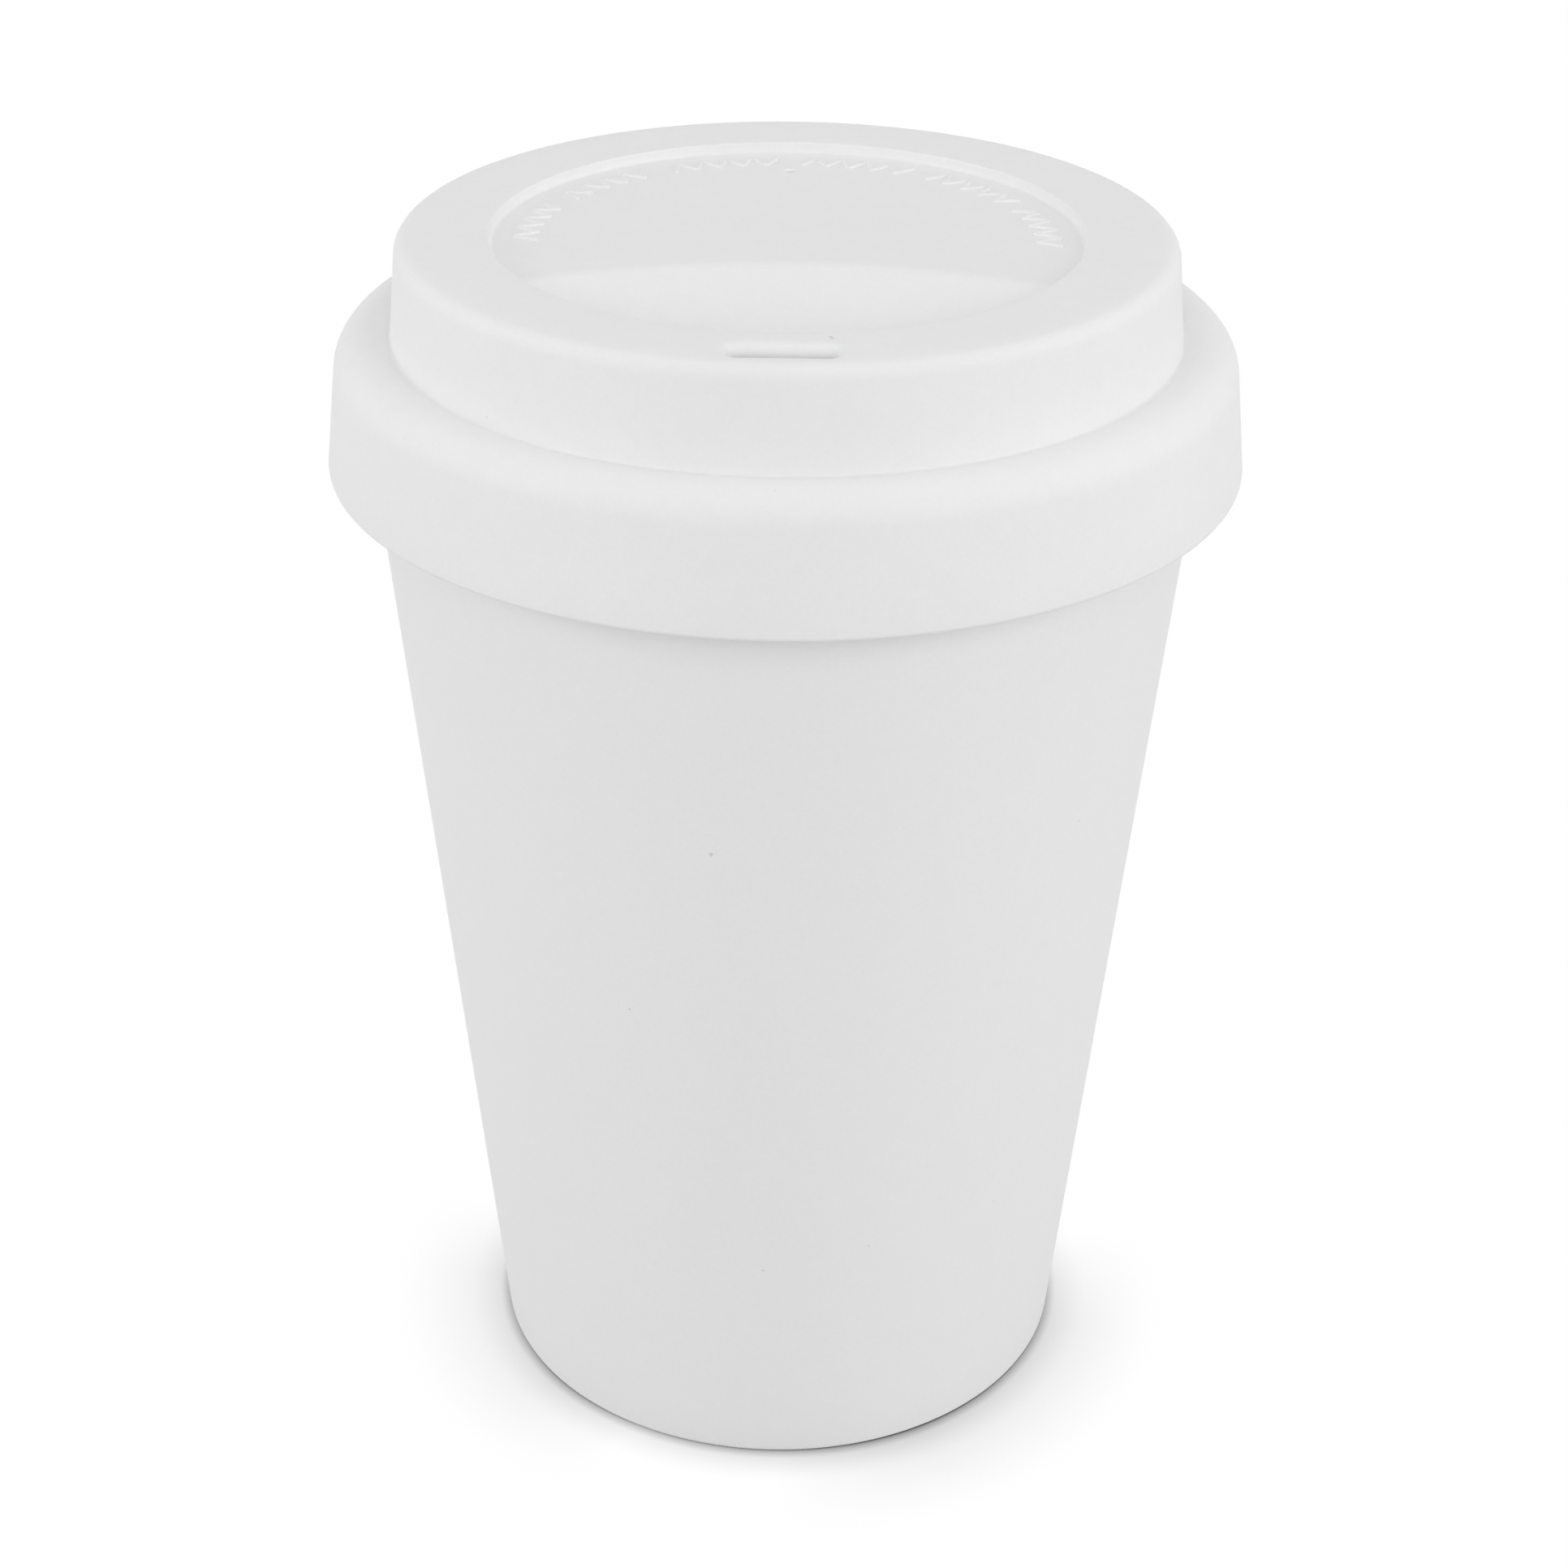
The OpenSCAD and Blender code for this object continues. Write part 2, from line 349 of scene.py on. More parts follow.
# Round between the floor and the wall of the dish, for every angle: a circle that touches the wall and
# the floor's own slope there. It grows from the dish's foot radius to the well's as the wall deepens.
def dishFoot(a):
    depth = np.clip((dishHeight - dishFloor(dishRadius, a)) / lidSize["footGrowth"], 0, 1)
    grown = depth * depth * (3 - 2 * depth)
    radius = lidSize["dishFoot"] + (lidSize["wellFoot"] - lidSize["dishFoot"]) * grown
    middle = dishRadius - radius
    step = 0.05
    rise = (dishFloor(middle + step, a) - dishFloor(middle - step, a)) / (2 * step)
    height = dishFloor(middle, a) + radius * np.sqrt(1 + rise ** 2)
    first = np.arctan2(-1, rise)
    t = np.linspace(0, 1, 9)[None, :]
    phi = first[:, None] * (1 - t)
    return np.stack([middle[:, None] + radius[:, None] * np.cos(phi),
                     height[:, None] + radius[:, None] * np.sin(phi)], -1)


# Radii of the floor's points for every angle: even steps up to the crest, finer ones over it, and even
# steps to the wall's foot. Where the crest isn't met, the finer steps lie just before the foot.
def floorRadii(a, foot):
    toward = wellAxisY * np.sin(a)
    square = toward ** 2 - (wellAxisY ** 2 - lidSize["crestRadius"] ** 2)
    met = (square > 0) & (toward > 0)
    crest = np.where(met, toward - np.sqrt(np.maximum(square, 0)), np.inf)
    spread = lidMesh["crestSpan"] * lidSize["crestRound"]
    firstLimit, secondLimit = lidMesh["beforeFoot"]
    first = np.minimum(crest - spread, firstLimit * foot)
    second = np.minimum(crest + spread, secondLimit * foot)
    inner = np.linspace(0, 1, 18)[None, :-1] * first[:, None]
    over = first[:, None] + np.linspace(0, 1, 9)[None, :-1] * (second - first)[:, None]
    outer = second[:, None] + np.linspace(0, 1, 13)[None, :] * (foot - second)[:, None]
    return np.concatenate([inner, over, outer], 1)


# Plug ring's outer side: a straight lead from the root to the tip, bulged where the bead's circle
# stands further out than the line.
def plugSide(root, tip, beadMid):
    bead = lidSize["bead"]
    z = np.concatenate([
        np.linspace(root[1], beadMid[1] + bead, 4)[:-1],
        beadMid[1] + bead * np.cos(np.linspace(0, math.pi, 11)),
        np.linspace(beadMid[1] - bead, tip[1], 4)[1:],
    ])
    straight = root[0] + (z - root[1]) * (tip[0] - root[0]) / (tip[1] - root[1])
    bulge = beadMid[0] + np.sqrt(np.maximum(bead ** 2 - (z - beadMid[1]) ** 2, 0))
    inside = np.abs(z - beadMid[1]) < bead
    return np.stack([np.where(inside, np.maximum(straight, bulge), straight), z], 1)


# A hole through two faces of a grid, as one tube of rings. A ring is a rectangle with round corners,
# and a point on it is the nearest point of the inner rectangle plus a step outwards. The rings go
# from the upper window's edge to the hole, over its lip, down its wall and out to the lower window.
# At the hole's two ends a lip has only the share of its width that ends gives.
def holeTube(grid, upper, lower, middle, half, corner, lips, heights, ends=1.0):
    def windowEdge(window):
        inner, outer, first, last = window
        along = np.arange(first, last)
        across = np.arange(inner, outer, 1 if outer > inner else -1)
        back = across[::-1] + (outer - inner) // len(across)
        rows = [np.full(len(along), inner), across, np.full(len(along), outer), back]
        columns = [along, np.full(len(across), last), along[::-1] + 1, np.full(len(across), first)]
        return grid[np.concatenate(rows), np.concatenate(columns)]

    cellsAlong, cellsAcross = upper[3] - upper[2], abs(upper[1] - upper[0])
    u = np.linspace(-1, 1, cellsAlong + 1)[:-1]
    v = np.linspace(-1, 1, cellsAcross + 1)[:-1]
    edge = np.concatenate([
        np.stack([u, np.full(cellsAlong, -1)], 1),
        np.stack([np.full(cellsAcross, 1), v], 1),
        np.stack([-u, np.full(cellsAlong, 1)], 1),
        np.stack([np.full(cellsAcross, -1), -v], 1),
    ]) * half
    core = np.clip(edge, -(half - corner), half - corner)
    step = (edge - core) / np.linalg.norm(edge - core, axis=1)[:, None]
    outward = middle / np.linalg.norm(middle)
    sideways = np.array([-outward[1], outward[0]])

    def ring(out, height, drop):
        plan = core + step * (corner + out * np.array([ends, 1.0]))
        place = middle + plan[:, :1] * sideways + plan[:, 1:] * outward
        return np.column_stack([place, height(np.hypot(place[:, 0], place[:, 1])) + drop])

    def fade(edgeRing, lipRing, height):
        rings = [edgeRing]
        for t in lidMesh["fade"]:
            place = (edgeRing + (lipRing - edgeRing) * t)[:, :2]
            rings.append(np.column_stack([place, height(np.hypot(place[:, 0], place[:, 1]))]))
        return rings

    def lipRing(lip, height, turned, way):
        return ring(lip * (1 - math.cos(turned)), height, way * lip * (1 - math.sin(turned)))

    turns = np.linspace(0, math.pi / 2, 7)
    above = [lipRing(lips[0], heights[0], turned, -1) for turned in turns[::-1]]
    below = [lipRing(lips[1], heights[1], turned, 1) for turned in turns]
    wall = [above[-1] + (below[0] - above[-1]) * t for t in (0.33, 0.66)]
    rings = fade(windowEdge(upper), above[0], heights[0]) + above + wall + below
    rings += fade(windowEdge(lower), below[-1], heights[1])[::-1]
    return np.stack(rings)


# Inside of the dish, for every angle: floor, foot, wall and lip, then the level land and the top's edge
def dishParts(size, a):
    foot = dishFoot(a)
    radii = floorRadii(a, foot[:, 0, 0])
    t = np.linspace(0, 1, 3)[None, :]
    wallHeights = foot[:, -1, 1][:, None] * (1 - t) + (topHeight - size["dishLip"]) * t
    lipMid = [dishRadius + size["dishLip"], topHeight - size["dishLip"]]
    landStart = slotY - size["slotLength"] / 2 - size["slotLip"] - lidMesh["slotMargin"]
    landRadii = np.concatenate([[lipMid[0]], np.linspace(landStart, edgeMid[0], 6)])
    return {
        "floor": np.stack([radii, dishFloor(radii, a[:, None])], -1),
        "foot": foot,
        "wall": np.stack([np.full(wallHeights.shape, dishRadius), wallHeights], -1),
        "lip": arc(lipMid, size["dishLip"], [180, 90], 6),
        "land": np.stack([landRadii, np.full(7, topHeight)], 1),
        "edge": arc(edgeMid, size["plateauEdge"], [90, 72, 62, 52, 42, 33, 24, 14, size["plateauDraft"]]),
    }


# Crease: a small circle that touches the raised top's side and the shoulder's arc. Its middle is where
# a line beside the side meets a circle about the rim's middle. Also gives the turn where it ends.
def creaseParts(size, sideTop):
    crease = size["creaseRound"]
    sideNormal = np.array([draftCos, draftTan * draftCos])
    sideUp = np.array([-sideNormal[1], sideNormal[0]])
    start = [plateauOut(rimMid[1]), rimMid[1]] + crease * sideNormal - rimMid
    climb = math.sqrt((start @ sideUp) ** 2 - start @ start + (shoulderOut + crease) ** 2) - start @ sideUp
    creaseMid = rimMid + start + climb * sideUp
    creaseTurn = math.degrees(math.atan2(creaseMid[1] - rimMid[1], creaseMid[0] - rimMid[0]))
    creaseArc = arc(creaseMid, crease, [180 + size["plateauDraft"], 180 + creaseTurn], 5)
    return {"side": line(sideTop, creaseArc[0], 3), "crease": creaseArc}, creaseTurn


# Shoulder and skirt: arcs about the rim's middle, and their tangents down to the skirt's edge and back
def skirtParts(size, creaseTurn):
    skirtHeight = rimHeight - size["skirtDrop"]
    reach = np.array([cupSize["rimDiameter"] / 2 + size["skirtOut"], skirtHeight]) - rimMid
    skirtTurn = math.atan2(reach[1], reach[0]) + math.acos(shoulderOut / np.linalg.norm(reach))
    normal = np.array([math.cos(skirtTurn), math.sin(skirtTurn)])
    down = np.array([normal[1], -normal[0]])
    skirtDegrees = math.degrees(skirtTurn)

    def skirtPoint(out, height):
        start = rimMid + out * normal
        return start + down * (start[1] - height) / normal[0]

    shoulder = arc(rimMid, shoulderOut, [creaseTurn, skirtDegrees], 20)
    outerMid = skirtPoint(shoulderOut - size["skirtEdge"], skirtHeight + size["skirtEdge"])
    innerMid = skirtPoint(shoulderIn + size["skirtEdge"], skirtHeight + size["skirtEdge"])
    outerEdge = arc(outerMid, size["skirtEdge"], [skirtDegrees, -90], 6)
    innerEdge = arc(innerMid, size["skirtEdge"], [-90, skirtDegrees - 180], 6)
    channel = arc(rimMid, shoulderIn, [skirtDegrees, 180 - leanDegrees], 12)
    return {
        "shoulder": shoulder,
        "skirt": line(shoulder[-1], outerEdge[0], 3),
        "outerEdge": outerEdge,
        "skirtEnd": line(outerEdge[-1], innerEdge[0], 1),
        "innerEdge": innerEdge,
        "skirtInner": line(innerEdge[-1], channel[0], 3),
        "channel": channel,
    }


# Plug ring: down its outer side with the bead, round the tip and up to the raised top's inner side
def plugParts(size, root):
    tipHeight = rimHeight - size["plugDrop"]
    tipRadius = size["plugTip"] / 2
    tipOut = cupIn(tipHeight) - size["gap"] / leanCos - size["plugLead"]
    tipMid = [tipOut - tipRadius, tipHeight + tipRadius]
    beadHeight = rimHeight - size["beadDrop"]
    beadMid = [cupIn(beadHeight) - (size["gap"] + size["bead"]) / leanCos, beadHeight]
    tip = arc(tipMid, tipRadius, [0, -180], 8)
    return {
        "plug": plugSide(root, tip[0], beadMid),
        "tip": tip,
        "plugInner": line(tip[-1], [plateauIn(crownHeight), crownHeight], 3),
    }


# Underside, for every angle: up the raised top's inner side, along its roof, down the tub's wall and
# along the tub's floor to the axis
def undersideParts(size, a):
    roofHeight = topHeight - size["wall"]
    lastButOne = tubRadius + lidMesh["tubMargin"]
    roofRadii = np.append(np.linspace(plateauIn(roofHeight), lastButOne, 7), tubRadius)
    roof = np.stack([roofRadii, np.full(8, roofHeight)], 1)
    t = np.linspace(0, 1, 3)[None, :]
    tubEdge = tubFloor(tubRadius, a)[:, None]
    underRadii = np.linspace(tubRadius, 0, 22)[None, :] + np.zeros((len(a), 1))
    return {
        "sideInner": line([plateauIn(crownHeight), crownHeight], roof[0], 3),
        "roof": roof,
        "tubWall": np.stack([np.full((len(a), 3), tubRadius), roofHeight * (1 - t) + tubEdge * t], -1),
        "under": np.stack([underRadii, tubFloor(underRadii, a[:, None])], -1),
    }


# The section runs from the axis over the dish's floor, up its wall, over the raised top, down its
# side, over the shoulder, down and up the skirt, round the plug ring and along the underside.
def lidMoulding(size):
    extra = np.arange(*lidMesh["fineColumns"])
    even = np.arange(-180, 180, lidMesh["columnStep"])
    degrees = np.unique(np.concatenate([even, -extra, extra - 180]))
    a = np.radians(degrees)
    dish = dishParts(size, a)
    crease, creaseTurn = creaseParts(size, dish["edge"][-1])
    skirt = skirtParts(size, creaseTurn)
    plug = plugParts(size, skirt["channel"][-1])
    sections, begins = stackParts({**dish, **crease, **skirt, **plug, **undersideParts(size, a)}, len(a))
    grid = turn(sections, degrees)

    # Windows in the grid for the slot and the vent: inner row, outer row, first and last column. The
    # slot's are the land without its first row and the roof without its last.
    def columnsNear(angle, spread):
        return [int(np.argmin(np.abs(degrees - angle + way * spread))) for way in (1, -1)]

    slotColumns = columnsNear(-90, lidMesh["slotWindow"])
    slotTop = (begins["land"] + 1, begins["edge"] + 1, *slotColumns)
    slotUnder = (begins["roof"] + 6, begins["roof"], *slotColumns)
    ventColumns = columnsNear(90, lidMesh["ventWindow"])
    atVent = int(np.argmin(np.abs(degrees - 90)))
    ventTop = int(np.argmin(np.abs(sections[atVent, :begins["foot"], 0] - ventY)))
    ventUnder = begins["under"] + int(np.argmin(np.abs(sections[atVent, begins["under"]:, 0] - ventY)))
    ventTopWindow = (ventTop - 1, ventTop + 1, *ventColumns)
    ventUnderWindow = (ventUnder + 1, ventUnder - 1, *ventColumns)
    cutOut = np.zeros((grid.shape[0] - 1, grid.shape[1]), bool)
    for inner, outer, first, last in (slotTop, slotUnder, ventTopWindow, ventUnderWindow):
        cutOut[min(inner, outer):max(inner, outer), first:last] = True

    def landHeight(r):
        past = np.clip(r - edgeMid[0], 0, size["plateauEdge"])
        return edgeMid[1] + np.sqrt(size["plateauEdge"] ** 2 - past ** 2)

    slot = holeTube(
        grid, slotTop, slotUnder, np.array([0.0, -slotY]),
        np.array([size["slotWidth"], size["slotLength"]]) / 2, size["slotCorner"],
        (size["slotLip"], size["slotUnderLip"]),
        (landHeight, lambda r: r * 0 + topHeight - size["wall"]), size["slotEnds"],
    )
    ventRadius = size["ventDiameter"] / 2
    vent = holeTube(
        grid, ventTopWindow, ventUnderWindow, np.array([0.0, ventY]),
        np.array([ventRadius, ventRadius]), ventRadius,
        (size["ventLip"], size["ventLip"]),
        (lambda r: r * 0 + dishHeight, lambda r: r * 0 + dishHeight - size["wall"]),
    )
    grids = [(grid, gridFaces(grid, cutOut)), (slot, gridFaces(slot)), (vent, gridFaces(vent))]
    piece = makePiece("lidMoulding", grids, "lid")
    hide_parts("lid")
    return piece


lid = lidMoulding(lidSize)
print("lid made:", len(lid.data.polygons), "faces")

# Raised marks on the dish: a plain zigzag band round its back, in equal groups
markSize = {
    "radius": 26.3,  # of the band's middle line
    "depth": 2.7,  # of the band
    "stroke": 0.5,  # width of a stroke
    "height": 0.2,
    "first": -3,  # degrees
    "last": 183,
    "groups": 6,
    "strokes": 9,  # in each group
    "space": 2.0,  # gap between groups, in strokes
}


# A stroke runs from one side of the band to the other, and its section is a lying ellipse. It shrinks
# at both ends as the square root of 1 - e squared, with e going from 0 to 1 through the end round.
def dishMarks(size):
    total = size["groups"] * size["strokes"] + (size["groups"] - 1) * size["space"]
    pitch = math.radians(size["last"] - size["first"]) * size["radius"] / total
    long = math.hypot(pitch, size["depth"])
    half, endRound = long / 2, size["stroke"] / 2
    s = half * np.sin(np.linspace(-math.pi / 2, math.pi / 2, 13))
    e = np.clip((np.abs(s) - (half - endRound)) / endRound, 0, 1)
    swell = np.sqrt(1 - e ** 2)
    around = np.linspace(0, 2 * math.pi, 10, endpoint=False)
    across = swell[:, None] * endRound * np.cos(around)
    along = s[:, None] + 0 * across
    height = dishHeight + swell[:, None] * size["height"] * np.sin(around)
    grids = []
    for group in range(size["groups"]):
        for stroke in range(size["strokes"]):
            place = (group * (size["strokes"] + size["space"]) + stroke + 0.5) * pitch
            lean = 1 if stroke % 2 else -1
            u = place + (along * pitch - lean * across * size["depth"]) / long
            v = size["radius"] + (lean * along * size["depth"] + across * pitch) / long
            a = math.radians(size["first"]) + u / size["radius"]
            grid = np.stack([v * np.cos(a), v * np.sin(a), height], -1)
            grids.append((grid, gridFaces(grid)))
    return makePiece("dishMarks", grids, "lid")


marks = dishMarks(markSize)
print("dish marks made")


# Shader maths: a wire holds a socket, and + - * / on wires and numbers add Math nodes.
class Wire:
    def __init__(self, sheet, socket):
        self.sheet, self.socket = sheet, socket

    def maths(self, operation, a, b=0.0):
        return self.sheet.node("ShaderNodeMath", {"operation": operation}, {0: a, 1: b})

    def __add__(self, other):
        return self.maths("ADD", self, other)

    def __radd__(self, other):
        return self.maths("ADD", other, self)

    def __sub__(self, other):
        return self.maths("SUBTRACT", self, other)

    def __rsub__(self, other):
        return self.maths("SUBTRACT", other, self)

    def __mul__(self, other):
        return self.maths("MULTIPLY", self, other)

    def __rmul__(self, other):
        return self.maths("MULTIPLY", other, self)

    def __truediv__(self, other):
        return self.maths("DIVIDE", self, other)

    def top(self, other):
        return self.maths("MAXIMUM", self, other)

    def clamp(self):
        return self.maths("MINIMUM", self.maths("MAXIMUM", self, 0.0), 1.0)


# A material's node tree. node() adds any node: its type, its settings, its inputs and the output wanted.
class Sheet:
    def __init__(self, name):
        self.material = bpy.data.materials.new(name)
        self.material.use_nodes = True
        self.tree = self.material.node_tree
        self.tree.nodes.clear()

    def node(self, kind, settings, inputs, output=0):
        made = self.tree.nodes.new(kind)
        for key, value in settings.items():
            setattr(made, key, value)
        for key, value in inputs.items():
            if isinstance(value, Wire):
                self.tree.links.new(value.socket, made.inputs[key])
            else:
                made.inputs[key].default_value = value
        return Wire(self, made.outputs[output])

    def noise(self, place, size, detail=2.0, rough=0.55, output="Fac"):
        inputs = {"Vector": place, "Scale": 1 / (size * mm), "Detail": detail, "Roughness": rough}
        return self.node("ShaderNodeTexNoise", {}, inputs, output)

    def mix(self, amount, a, b):
        return self.node("ShaderNodeMix", {"data_type": "RGBA"}, {"Factor": amount, 6: a, 7: b}, 2)

    def finish(self, surface):
        last = self.tree.nodes.new("ShaderNodeOutputMaterial")
        self.tree.links.new(surface.socket, last.inputs["Surface"])
        return self.material


# Dark flecks: a mask that is each fleck's darkness within its radius. The place is shaken by a fine
# noise, so that no fleck is a perfect circle.
fleckShape = {
    "shakeSize": 0.35,
    "shake": 0.25,
    "edge": 0.35,  # share of the radius over which a fleck fades out
}


def fleckMask(sheet, place, flecks):
    shake = sheet.noise(place, fleckShape["shakeSize"], output="Color")
    shaken = sheet.node(
        "ShaderNodeVectorMath", {"operation": "MULTIPLY_ADD"},
        {0: shake, 1: [fleckShape["shake"] * mm] * 3, 2: place},
    )
    mask = None
    for degrees, out, height, radius, dark in flecks:
        a = math.radians(degrees)
        at = np.array([out * math.cos(a), out * math.sin(a), height])
        centre = ((at + fleckShape["shake"] / 2) * mm).tolist()
        away = sheet.node("ShaderNodeVectorMath", {"operation": "DISTANCE"}, {0: shaken, 1: centre}, 1)
        spot = ((radius * mm - away) / (fleckShape["edge"] * radius * mm)).clamp() * dark
        mask = spot if mask is None else mask.top(spot)
    return mask


cupFinish = {
    "colour": (0.89, 0.89, 0.89, 1),
    "dim": (0.87, 0.87, 0.87, 1),  # the darker parts of the mottle
    "fleck": (0.10, 0.095, 0.09, 1),
    "fleckDepth": 0.9,
    "layers": (9, 1.6, 0.42),  # sizes of the mottle's cloud, blotch and grain
    "mottle": (0.4, 0.6, 2.0),  # their parts in the colour
    "relief": (0.8, 0.6, 0.6),  # height of blotch and grain, and depth of a fleck
    "bump": 0.02,
    "bumpStrength": 0.35,
    "roughness": 0.62,
    "uneven": (0.12, 0.10),  # parts of blotch and grain in the roughness
    "gloss": 0.15,
    # flecks on the outer face: degrees round the cup, height, radius and how dark, from 0 to 1
    "flecks": [
        (-99.3, 80.4, 0.27, 0.25), (-113.2, 59.7, 0.14, 0.3), (-92.1, 27.0, 0.12, 0.3),
        (-73.6, 29.6, 0.13, 0.3), (-47.9, 30.1, 0.11, 0.3), (-40.1, 76.9, 0.11, 0.3),
        (-12, 52, 0.14, 0.4), (24, 88, 0.12, 0.3), (61, 34, 0.18, 0.9),
        (97, 70, 0.13, 0.3), (142, 46, 0.15, 0.4), (-168, 93, 0.13, 0.3),
    ],
}
lidFinish = {
    "colour": (0.89, 0.89, 0.89, 1),
    "dim": (0.865, 0.865, 0.865, 1),
    "fleck": (0.22, 0.21, 0.20, 1),
    "fleckDepth": 0.8,
    "layers": (12, 1.8, 0.38),
    "mottle": (0.9, 0.9, 1.6),
    "relief": (0.7, 0.6, 0.0),
    "bump": 0.018,
    "bumpStrength": 0.35,
    "roughness": 0.66,
    "uneven": (0.10, 0.08),
    "gloss": 0.15,
    # dust marks: degrees round the lid, distance from the axis, height, radius and how dark, from 0 to 1
    "flecks": [
        (-82.1, 31.4, 130.1, 0.28, 0.3), (-81.9, 31.8, 130.1, 0.28, 0.3),
        (-118.5, 41.0, 120.3, 0.14, 0.2), (-90.6, 43.6, 120.2, 0.12, 0.2),
        (-133.6, 40.0, 121.0, 0.13, 0.2), (38, 42.0, 120.5, 0.12, 0.3),
        (-20, 46.7, 112, 0.13, 0.3),
    ],
}


# Finish of a moulding: three noises, from clouds to grain, darken the white a little, roughen it and
# raise it. The flecks lie on top, and the cup's are pits too.
def mouldedSurface(name, finish, flecks):
    sheet = Sheet(name)
    place = sheet.node("ShaderNodeTexCoord", {}, {}, "Object")
    cloudSize, blotchSize, grainSize = finish["layers"]
    cloud = sheet.noise(place, cloudSize, 3.0)
    blotch = sheet.noise(place, blotchSize, 3.0)
    grain = sheet.noise(place, grainSize)
    dimness = 0.5
    for layer, part in zip((cloud, blotch, grain), finish["mottle"]):
        dimness = dimness + (layer - 0.5) * part
    spots = fleckMask(sheet, place, flecks)
    colour = sheet.mix(dimness.clamp(), finish["colour"], finish["dim"])
    colour = sheet.mix(spots * finish["fleckDepth"], colour, finish["fleck"])
    roughness = finish["roughness"]
    for layer, part in zip((blotch, grain), finish["uneven"]):
        roughness = roughness + (layer - 0.5) * part
    blotchRise, grainRise, fleckDrop = finish["relief"]
    bump = sheet.node("ShaderNodeBump", {}, {
        "Strength": finish["bumpStrength"],
        "Distance": finish["bump"] * mm,
        "Height": grain * grainRise + blotch * blotchRise - spots * fleckDrop,
    })
    skin = sheet.node("ShaderNodeBsdfPrincipled", {}, {
        "Base Color": colour,
        "Roughness": roughness,
        "Specular IOR Level": finish["gloss"],
        "Normal": bump,
    })
    return sheet.finish(skin)


cupFlecks = [(degrees, cupOut(height), height, *rest) for degrees, height, *rest in cupFinish["flecks"]]
cup.data.materials.append(mouldedSurface("mouldedWhite", cupFinish, cupFlecks))
silicone = mouldedSurface("softSilicone", lidFinish, lidFinish["flecks"])
lid.data.materials.append(silicone)
marks.data.materials.append(silicone)
print("finishes made")

# Studio: a white floor, a white surround and soft lamps
studio = {
    "floorWidth": 4.0,  # metres
    "floorShade": 0.7,  # how pale the floor is as the cup sees it
    # reach of the floor's three shadows from the foot, in millimetres, and how dark they are
    "shadows": {
        "thin": (1.2, 0.5),
        "short": (4.8, 0.5),
        "wide": (14, 0.5),
    },
    # the wide shadow's fans: their middle in degrees, the cosine at their end and how dark they are
    "fans": [(-38, 0.62, 0.85), (-160, 0.75, 0.72)],
    "fanRise": 1.25,  # a fan is full from 1 / 1.25 of the way to its middle
    "sideFade": 0.6,  # how much fainter the short shadow is at the sides
    "skySamples": 4,
    "surround": 0.393,  # strength of the surround's light on the cup
    "lampWidth": 0.8,  # metres
    "lampReach": 1.2,  # metres from the aim
    "aim": 0.6,  # of the rim's height
    # degrees round from the front to the right, degrees up, and power in watts
    "lamps": {
        "overhead": (0, 85, 1.53),
        "front": (0, 25, 2.06),
        "frontRight": (45, 25, 2.46),
        "right": (90, 8, 3.13),
        "backRight": (120, 50, 1.53),
        "backLeft": (240, 50, 1.31),
        "left": (270, 8, 3.73),
        "frontLeft": (315, 25, 1.6),
    },
}


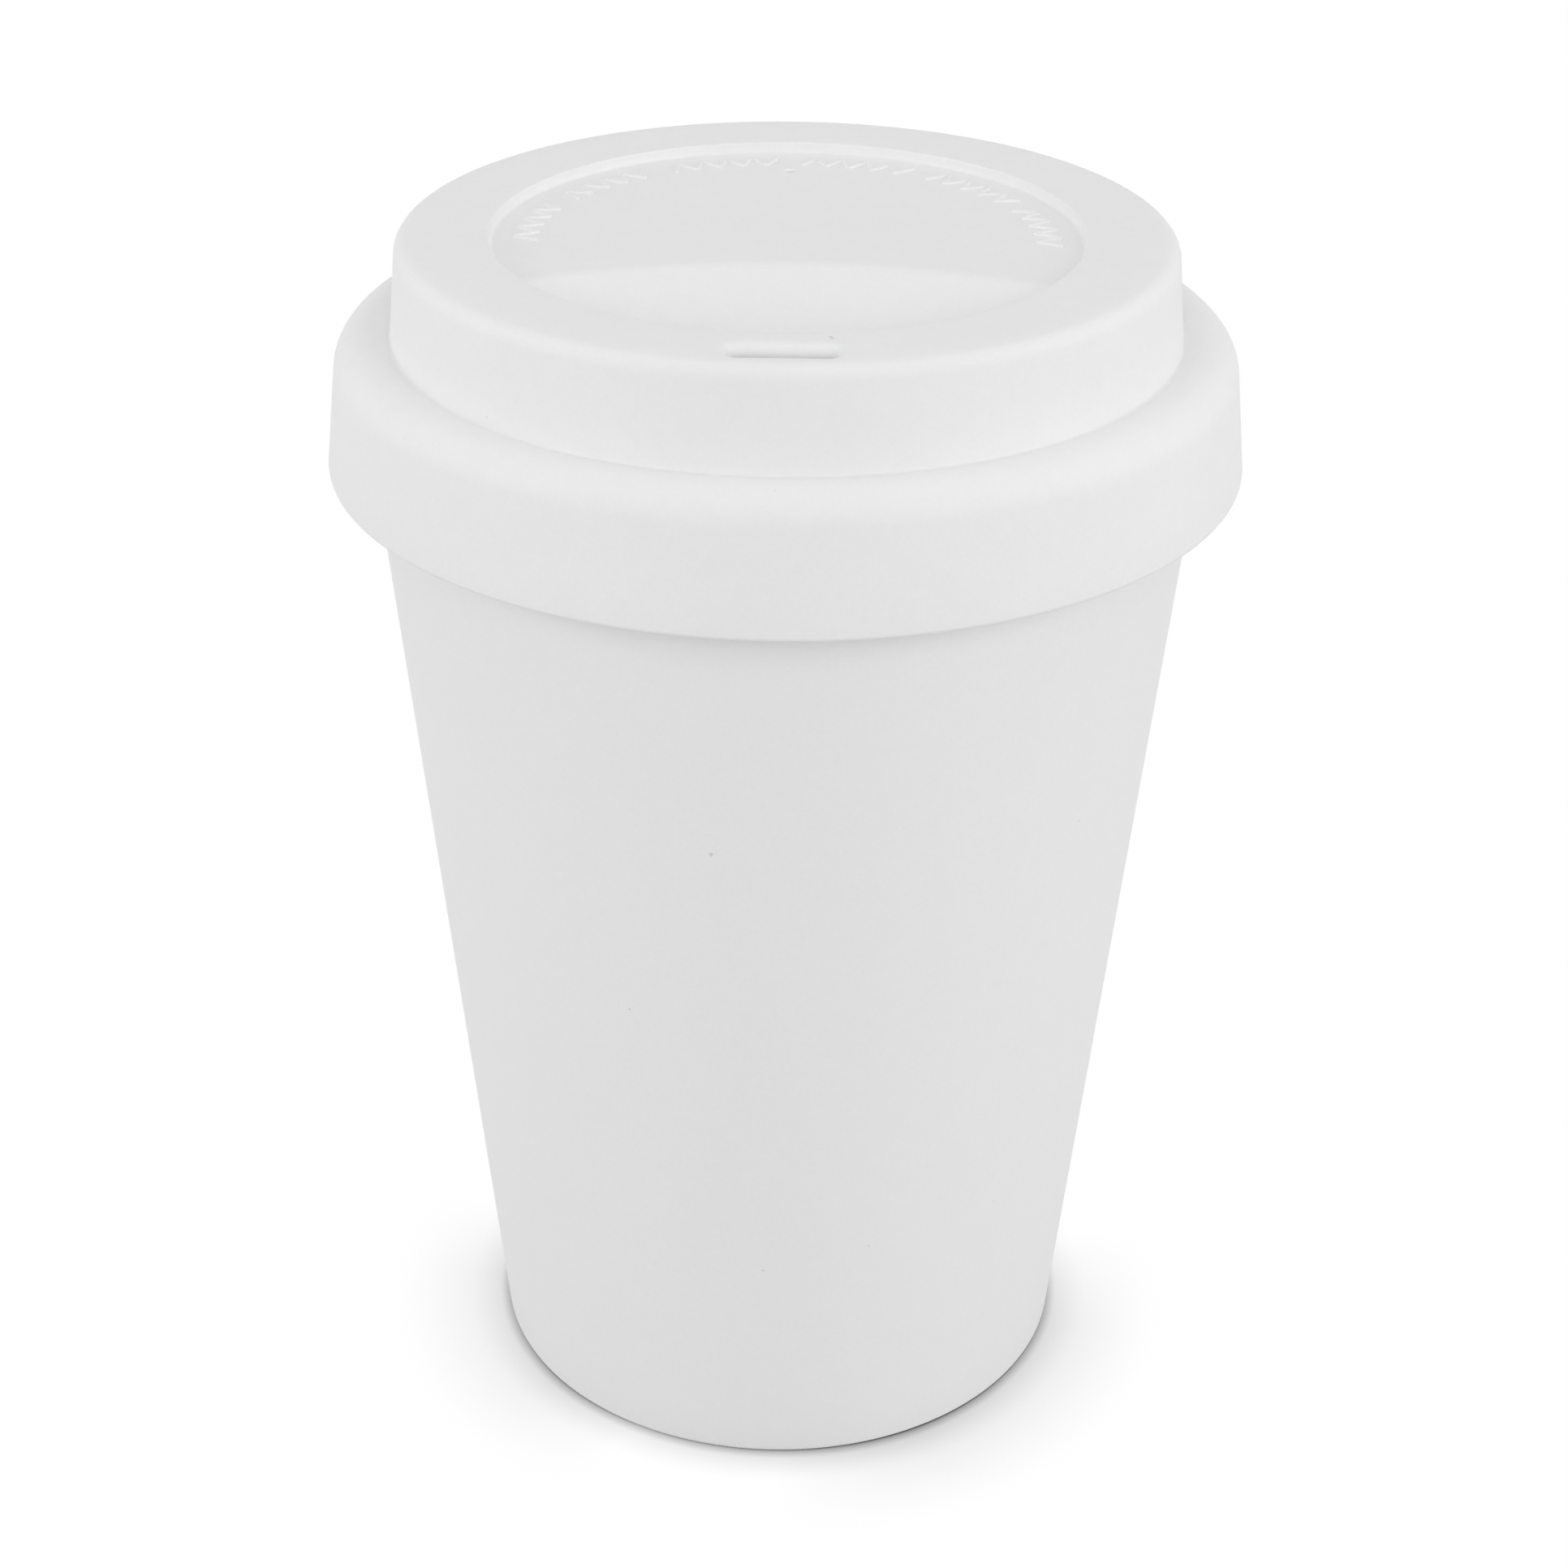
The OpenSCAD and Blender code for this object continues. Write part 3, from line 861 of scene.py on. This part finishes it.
# Floor: seen directly it is white, less three shadows, each of them how much of the sky is hidden
# nearby. The thin one lies along the foot. The short one is 1 at the front and back and less at the
# sides. The wide one lies in two fans, each growing with the cosine of the turn from its middle.
# For other rays the floor is a plain pale surface.
def floorSurface(setup):
    sheet = Sheet("studioFloor")
    path = sheet.tree.nodes.new("ShaderNodeLightPath")
    seen = Wire(sheet, path.outputs["Is Camera Ray"])
    for kind in ("Is Glossy Ray", "Is Transmission Ray"):
        seen = seen.top(Wire(sheet, path.outputs[kind]))
    place = sheet.node("ShaderNodeTexCoord", {}, {}, "Object")
    away = sheet.node("ShaderNodeVectorMath", {"operation": "LENGTH"}, {0: place}, 1)
    right = sheet.node("ShaderNodeSeparateXYZ", {}, {0: place}, 0) / away
    back = sheet.node("ShaderNodeSeparateXYZ", {}, {0: place}, 1) / away
    wide = 0.0
    for degrees, end, share in setup["fans"]:
        a = math.radians(degrees)
        near = right * math.cos(a) + back * math.sin(a)
        wide = wide + ((near - end) * (setup["fanRise"] / (1 - end))).clamp() * share
    short = 1.0 - right.maths("ABSOLUTE", right) * setup["sideFade"]
    light = 1.0
    for name, share in (("thin", 1.0), ("short", short), ("wide", wide)):
        reach, depth = setup["shadows"][name]
        sky = sheet.node(
            "ShaderNodeAmbientOcclusion", {"samples": setup["skySamples"]}, {"Distance": reach * mm}, "AO"
        )
        light = light - (1.0 - sky) * depth * share
    white = sheet.node("ShaderNodeEmission", {}, {"Color": light.clamp(), "Strength": 1.0})
    plain = sheet.node("ShaderNodeBsdfDiffuse", {}, {"Color": (*[setup["floorShade"]] * 3, 1)})
    return sheet.finish(sheet.node("ShaderNodeMixShader", {}, {0: seen, 1: plain, 2: white}))


# Surround: white to the camera and in reflections, and fainter as a light on the cup. Each lamp is a
# disk that faces the aim.
def makeStudio(setup):
    half = setup["floorWidth"] / 2
    corners = [(-half, -half, 0), (half, -half, 0), (half, half, 0), (-half, half, 0)]
    mesh = bpy.data.meshes.new("floor")
    mesh.from_pydata(corners, [], [(0, 1, 2, 3)])
    mesh.materials.append(floorSurface(setup))
    floor = bpy.data.objects.new("floor", mesh)
    bpy.context.scene.collection.objects.link(floor)
    world = bpy.data.worlds.new("surround")
    world.use_nodes = True
    bpy.context.scene.world = world
    tree = world.node_tree
    path = tree.nodes.new("ShaderNodeLightPath")
    strength = tree.nodes.new("ShaderNodeMix")
    strength.inputs[2].default_value = setup["surround"]
    strength.inputs[3].default_value = 1.0
    seen = path.outputs["Is Camera Ray"]
    for kind in ("Is Glossy Ray", "Is Transmission Ray"):
        top = tree.nodes.new("ShaderNodeMath")
        top.operation = "MAXIMUM"
        tree.links.new(seen, top.inputs[0])
        tree.links.new(path.outputs[kind], top.inputs[1])
        seen = top.outputs[0]
    tree.links.new(seen, strength.inputs[0])
    background = tree.nodes["Background"]
    background.inputs["Color"].default_value = (1, 1, 1, 1)
    tree.links.new(strength.outputs[0], background.inputs["Strength"])
    aim = np.array([0.0, 0.0, setup["aim"] * rimHeight * mm])
    for name, (around, rise, power) in setup["lamps"].items():
        light = bpy.data.lights.new(name, "AREA")
        light.shape = "DISK"
        light.size = setup["lampWidth"]
        light.energy = power
        away = direction(around, rise)
        side = direction(around + 90, 0)
        holder = bpy.data.objects.new(name, light)
        holder.matrix_world = pose(side, np.cross(away, side), away, aim + away * setup["lampReach"])
        bpy.context.scene.collection.objects.link(holder)


makeStudio(studio)
bpy.context.scene.view_settings.view_transform = "Standard"
print("studio made")
